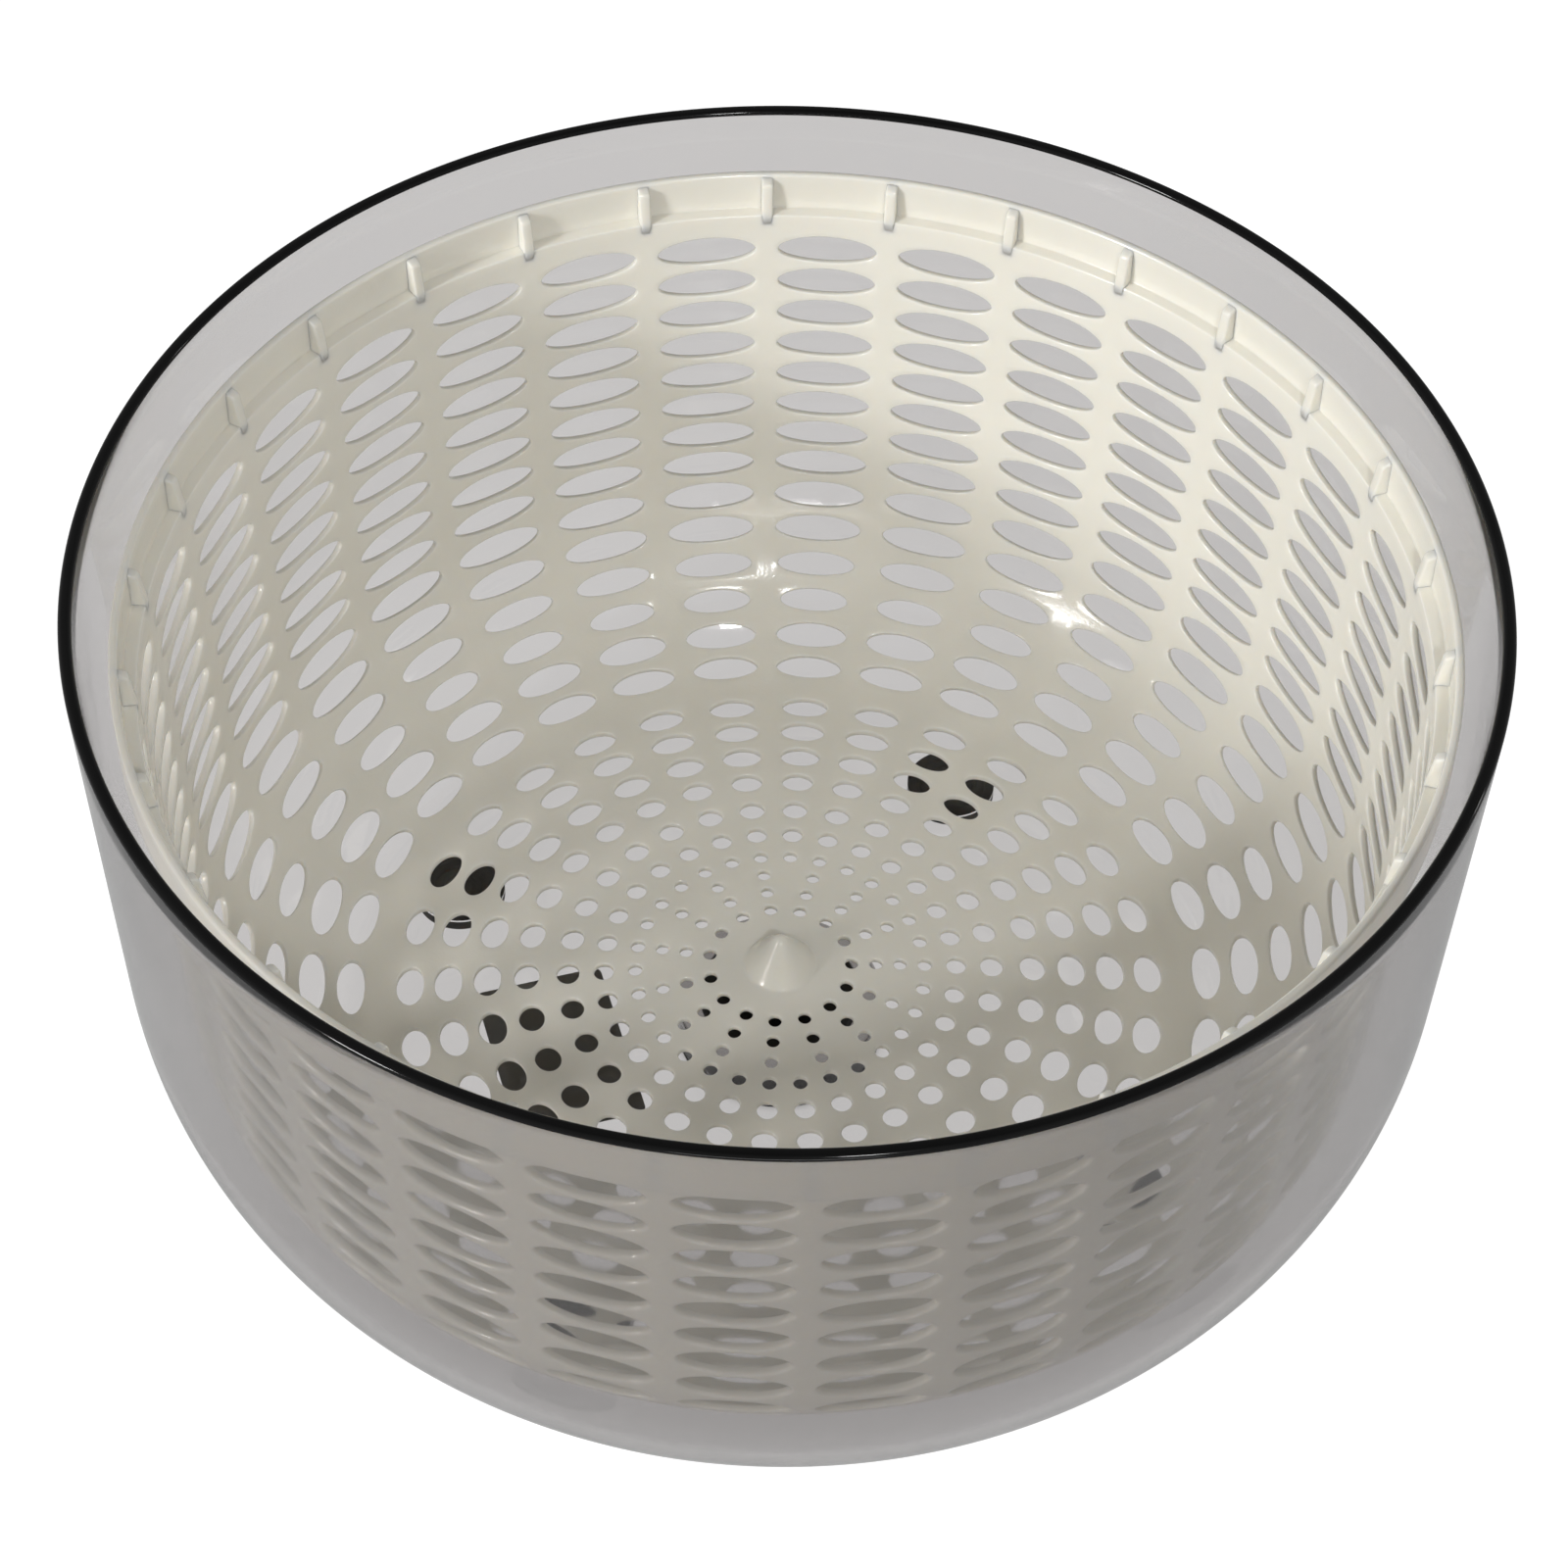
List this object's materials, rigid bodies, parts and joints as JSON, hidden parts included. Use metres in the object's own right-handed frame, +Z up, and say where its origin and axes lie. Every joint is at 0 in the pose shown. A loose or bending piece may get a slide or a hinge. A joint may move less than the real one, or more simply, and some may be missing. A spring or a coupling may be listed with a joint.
{
  "type": "salad spinner bowl and basket",
  "caption": "Smoked clear mixing bowl on rubber feet with a slotted draining basket that turns on a central pivot and lifts out.",
  "frame": {"origin": "centre of the underside, at the height of the surface that the four feet stand on", "axes": "+Z up along the turning axis, +Y to the back, +X to the right"},
  "size_m": [0.25, 0.25, 0.134],
  "materials": {
    "smoked_plastic": "clear smoked grey, polished",
    "cream_plastic": "satin, slightly translucent",
    "black_plastic": "satin moulded",
    "foot_rubber": "matte, ring grooved",
    "label": "plain matt film, no print"
  },
  "bodies": {
    "bowl": {"bowl": "smoked_plastic", "pivot_bush": "black_plastic", "base_label": "label", "foot_back_right": "foot_rubber", "foot_front_right": "foot_rubber", "foot_front_left": "foot_rubber", "foot_back_left": "foot_rubber"},
    "spindle": {"pivot_spindle": "black_plastic"},
    "basket": {"basket": "cream_plastic"}
  },
  "joints": [
    {"name": "basket_spin", "type": "hinge", "parent": "bowl", "child": "spindle", "pos_m": [0, 0, 0.012], "axis": [0, 0, 1], "continuous": true},
    {"name": "basket_lift", "type": "slide", "parent": "spindle", "child": "basket", "axis": [0, 0, 1], "range_m": [0, 0.14]}
  ]
}
